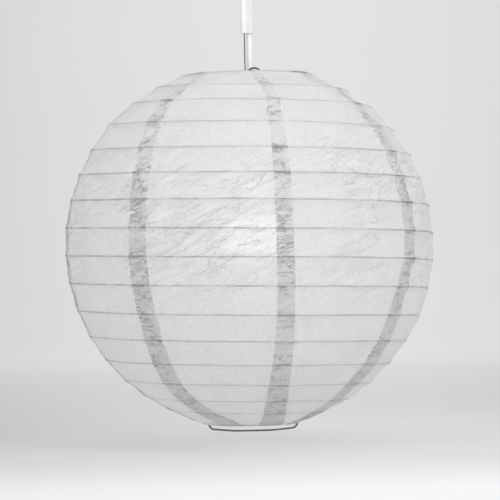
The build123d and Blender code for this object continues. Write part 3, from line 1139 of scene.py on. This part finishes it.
@dataclass
class Suspension:
    """Flex, cord grip, hanging link and the expander wire."""

    finishes: Finishes
    flex_r: float = 3.25
    top: float = -7.0
    low: float = -250.0

    def build_flex(self) -> bpy.types.Object:
        """Draw the taut flex as a smooth curve with a round section.

        Returns:
            The flex.
        """
        line = bpy.data.curves.new("white_flex", "CURVE")
        line.dimensions = "3D"
        line.bevel_depth = self.flex_r * MM
        line.bevel_resolution = 6
        line.use_fill_caps = True
        spline = line.splines.new("NURBS")
        heights = (self.top, -40.0, -100.0, -160.0, -215.0, self.low)
        spline.points.add(len(heights) - 1)
        for point, z in zip(spline.points, heights):
            point.co = (0.0, 0.0, z * MM, 1.0)
        spline.order_u = 3
        spline.use_endpoint_u = True
        line.materials.append(self.finishes.sheath)
        made = bpy.data.objects.new("white_flex", line)
        bpy.context.scene.collection.objects.link(made)
        return made

    def build(self) -> None:
        """Make the flex and dress what hangs on it."""
        flex = settle(self.build_flex(), Body.CEILING, "white_flex", "flex")
        self.top * MM
        (self.top - self.low) * MM
        2 * self.flex_r * MM
        dress("cord_grip", self.finishes.white)
        dress("grip_screw", self.finishes.zinc)
        for node in ("hanging_link", "expander_wire"):
            dress(node, self.finishes.wire)
        dress("expander_crimp", self.finishes.zinc)


@dataclass
class Lamp:
    """Lampholder and bulb at the flex's end."""

    finishes: Finishes
    centre_z: float = -344.0
    globe_z: float = 8.2
    globe_r: float = 30.0
    neck_z: float = 19.5
    wall: float = 1.4

    def build_dome(self) -> bpy.types.Object:
        """Turn the frosted dome, closed by its own wall.

        Returns:
            The dome.
        """
        top = math.degrees(math.asin((self.neck_z - self.globe_z) / self.globe_r))
        inner = self.globe_r - self.wall
        top_in = math.degrees(math.asin((self.neck_z - self.globe_z) / inner))
        outline = arc((0.0, self.globe_z), self.globe_r, -90, top, 40)
        outline += arc((0.0, self.globe_z), inner, top_in, -90, 30)
        outline[0] = (0.0, self.globe_z - self.globe_r)
        outline[-1] = (0.0, self.globe_z - inner)
        return spun("frosted_dome", outline, self.centre_z, self.finishes.dome)

    def build(self) -> None:
        """Make the dome and dress the lampholder and the bulb's other parts."""
        settle(self.build_dome(), Body.BULB, "frosted_dome", "bulb_globe")
        for node in ("holder_cap", "holder_body"):
            dress(node, self.finishes.white)
        dress("holder_insert", self.finishes.steatite)
        for node in ("holder_shell", "holder_contact"):
            dress(node, self.finishes.brass)
        dress("bulb_housing", self.finishes.collar)
        for node in ("bulb_screw", "bulb_tip"):
            dress(node, self.finishes.nickel)
        dress("bulb_insulator", self.finishes.glass)


# ------------------------------------------------------------------ the studio


@dataclass
class Studio:
    """Pale floor and backdrop, soft lights and the camera."""

    spiral: Spiral
    distance: float = 3.05
    lens: float = 198.7
    elevation_deg: float = -0.5
    roll_deg: float = 1.2
    aim_right: float = 0.0005
    aim_down: float = 0.0062
    floor_z: float = -0.566
    bend_y: float = 3.4
    bend: float = 0.9
    half_width: float = 8.0
    near_y: float = -7.0
    top_z: float = 6.0
    sky: float = 0.44
    # Name, place, side in metres and power in watts of each soft light
    lights: "tuple[tuple, ...]" = (("key light", (1.5, -2.2, 1.2), 1.6, 38.0),
                                   ("fill light", (-1.7, -2.1, 0.4), 1.8, 18.0),
                                   ("top light", (0.1, -0.5, 2.2), 2.0, 20.0))

    def build_camera(self) -> bpy.types.Object:
        """Place the camera in front of the ball, a little rolled.

        Returns:
            The camera.
        """
        data = bpy.data.cameras.new("camera")
        data.lens = self.lens
        data.sensor_width = 36.0
        data.clip_end = 50.0
        camera = bpy.data.objects.new("camera", data)
        bpy.context.scene.collection.objects.link(camera)
        centre = Vector(self.spiral.centre) * MM
        target = centre + Vector((self.aim_right, 0, -self.aim_down))
        e = math.radians(self.elevation_deg)
        camera.location = target + Vector((0, -math.cos(e), math.sin(e))) * self.distance
        look = (target - camera.location).to_track_quat("-Z", "Y").to_matrix().to_4x4()
        turned = look @ Matrix.Rotation(math.radians(-self.roll_deg), 4, "Z")
        camera.matrix_world = Matrix.Translation(camera.location) @ turned
        bpy.context.scene.camera = camera
        return camera

    def sweep_material(self) -> bpy.types.Material:
        """Pale matt sweep with a soft glow of its own, a painted pool of light in front of the lantern and
        painted shade to the sides.

        Returns:
            The material.
        """
        n = Nodes("pale sweep")
        across, depth = n.along("X"), n.along("Y")
        # Lighter far behind the lantern, a painted pool of light close in front of it, and painted shade
        # darker to the sides
        wall = depth.spread(0.5, 3.8, 0.455, 0.60)
        front = depth.spread(-0.70, -0.20, 0.165, 0.0)
        reach = (depth + 3.1).most(0.5)
        off = ((across / reach - 0.015).size() * 11.0).least(1.2)
        tone = wall + front - off * off * depth.spread(-0.6, 0.4, 0.02, 0.062)
        # Painted light, a little lighter to the right just behind the lantern
        tone = tone + across.spread(-0.30, 0.30, 0.0, 0.04) * depth.spread(0.3, 0.9, 1.0, 0.0)
        tone = tone + (n.noise(3.0, 3.0) - 0.5) * 0.02
        # Far out the floor fades to the grey of the world round it
        away = across.size().most(depth * -1.0).spread(1.6, 6.5)
        tone = tone + (0.33 - tone) * away
        colour = n.tint(tone, (0.0, 0.0, 0.0), (1.0, 1.0, 1.0))
        skin = {"Base Color": (0.25, 0.25, 0.25, 1.0), "Roughness": 0.9, "Specular IOR Level": 0.1}
        skin |= {"Emission Color": colour, "Emission Strength": 1.0}
        return n.finish(n.add("ShaderNodeBsdfPrincipled", None, skin))

    def build_sweep(self) -> None:
        """Make the floor and wall as one bent sheet."""
        side = [(self.near_y, self.floor_z), (self.bend_y, self.floor_z)]
        for a in np.radians(np.linspace(-88, 0, 24)):
            side.append((self.bend_y + self.bend * math.cos(a), self.floor_z + self.bend * (1 + math.sin(a))))
        side.append((self.bend_y + self.bend, self.top_z))
        points = [(x, y, z) for y, z in side for x in (-self.half_width, self.half_width)]
        floor = piece("sweep", np.array(points), grid_faces(len(side), 2), self.sweep_material())

    def area(self, name: str, place: tuple, size: float, power: float, to: tuple) -> None:
        """Hang a square soft light.

        Args:
            name: its name.
            place: where it stands.
            size: its side in metres.
            power: its power in watts.
            to: the point it faces.
        """
        data = bpy.data.lights.new(name, "AREA")
        data.energy = power
        data.size = size
        lamp = bpy.data.objects.new(name, data)
        bpy.context.scene.collection.objects.link(lamp)
        lamp.location = place
        lamp.rotation_euler = (Vector(to) - Vector(place)).to_track_quat("-Z", "Y").to_euler()

    def build(self) -> None:
        """Set up the whole studio."""
        self.build_camera()
        self.build_sweep()
        world = bpy.data.worlds.new("soft world")
        world.use_nodes = True
        light = world.node_tree.nodes["Background"].inputs
        light["Color"].default_value = (1, 1, 1, 1)
        light["Strength"].default_value = self.sky
        bpy.context.scene.world = world
        bpy.context.scene.view_settings.view_transform = "Standard"
        centre = tuple(c * MM for c in self.spiral.centre)
        for name, place, size, power in self.lights:
            self.area(name, place, size, power, centre)


def main() -> None:
    """Build the lantern from the camera down to its smallest parts."""
    logging.basicConfig(level=logging.INFO, format="%(name)s: %(message)s")
    spiral = Spiral()
    Studio(spiral).build()
    finishes = Finishes.make()
    Suspension(finishes).build()
    PaperBall(spiral, finishes, SEAMS).build()
    CeilingRose(finishes).build()
    Lamp(finishes).build()


if __name__ == "__main__":
    main()
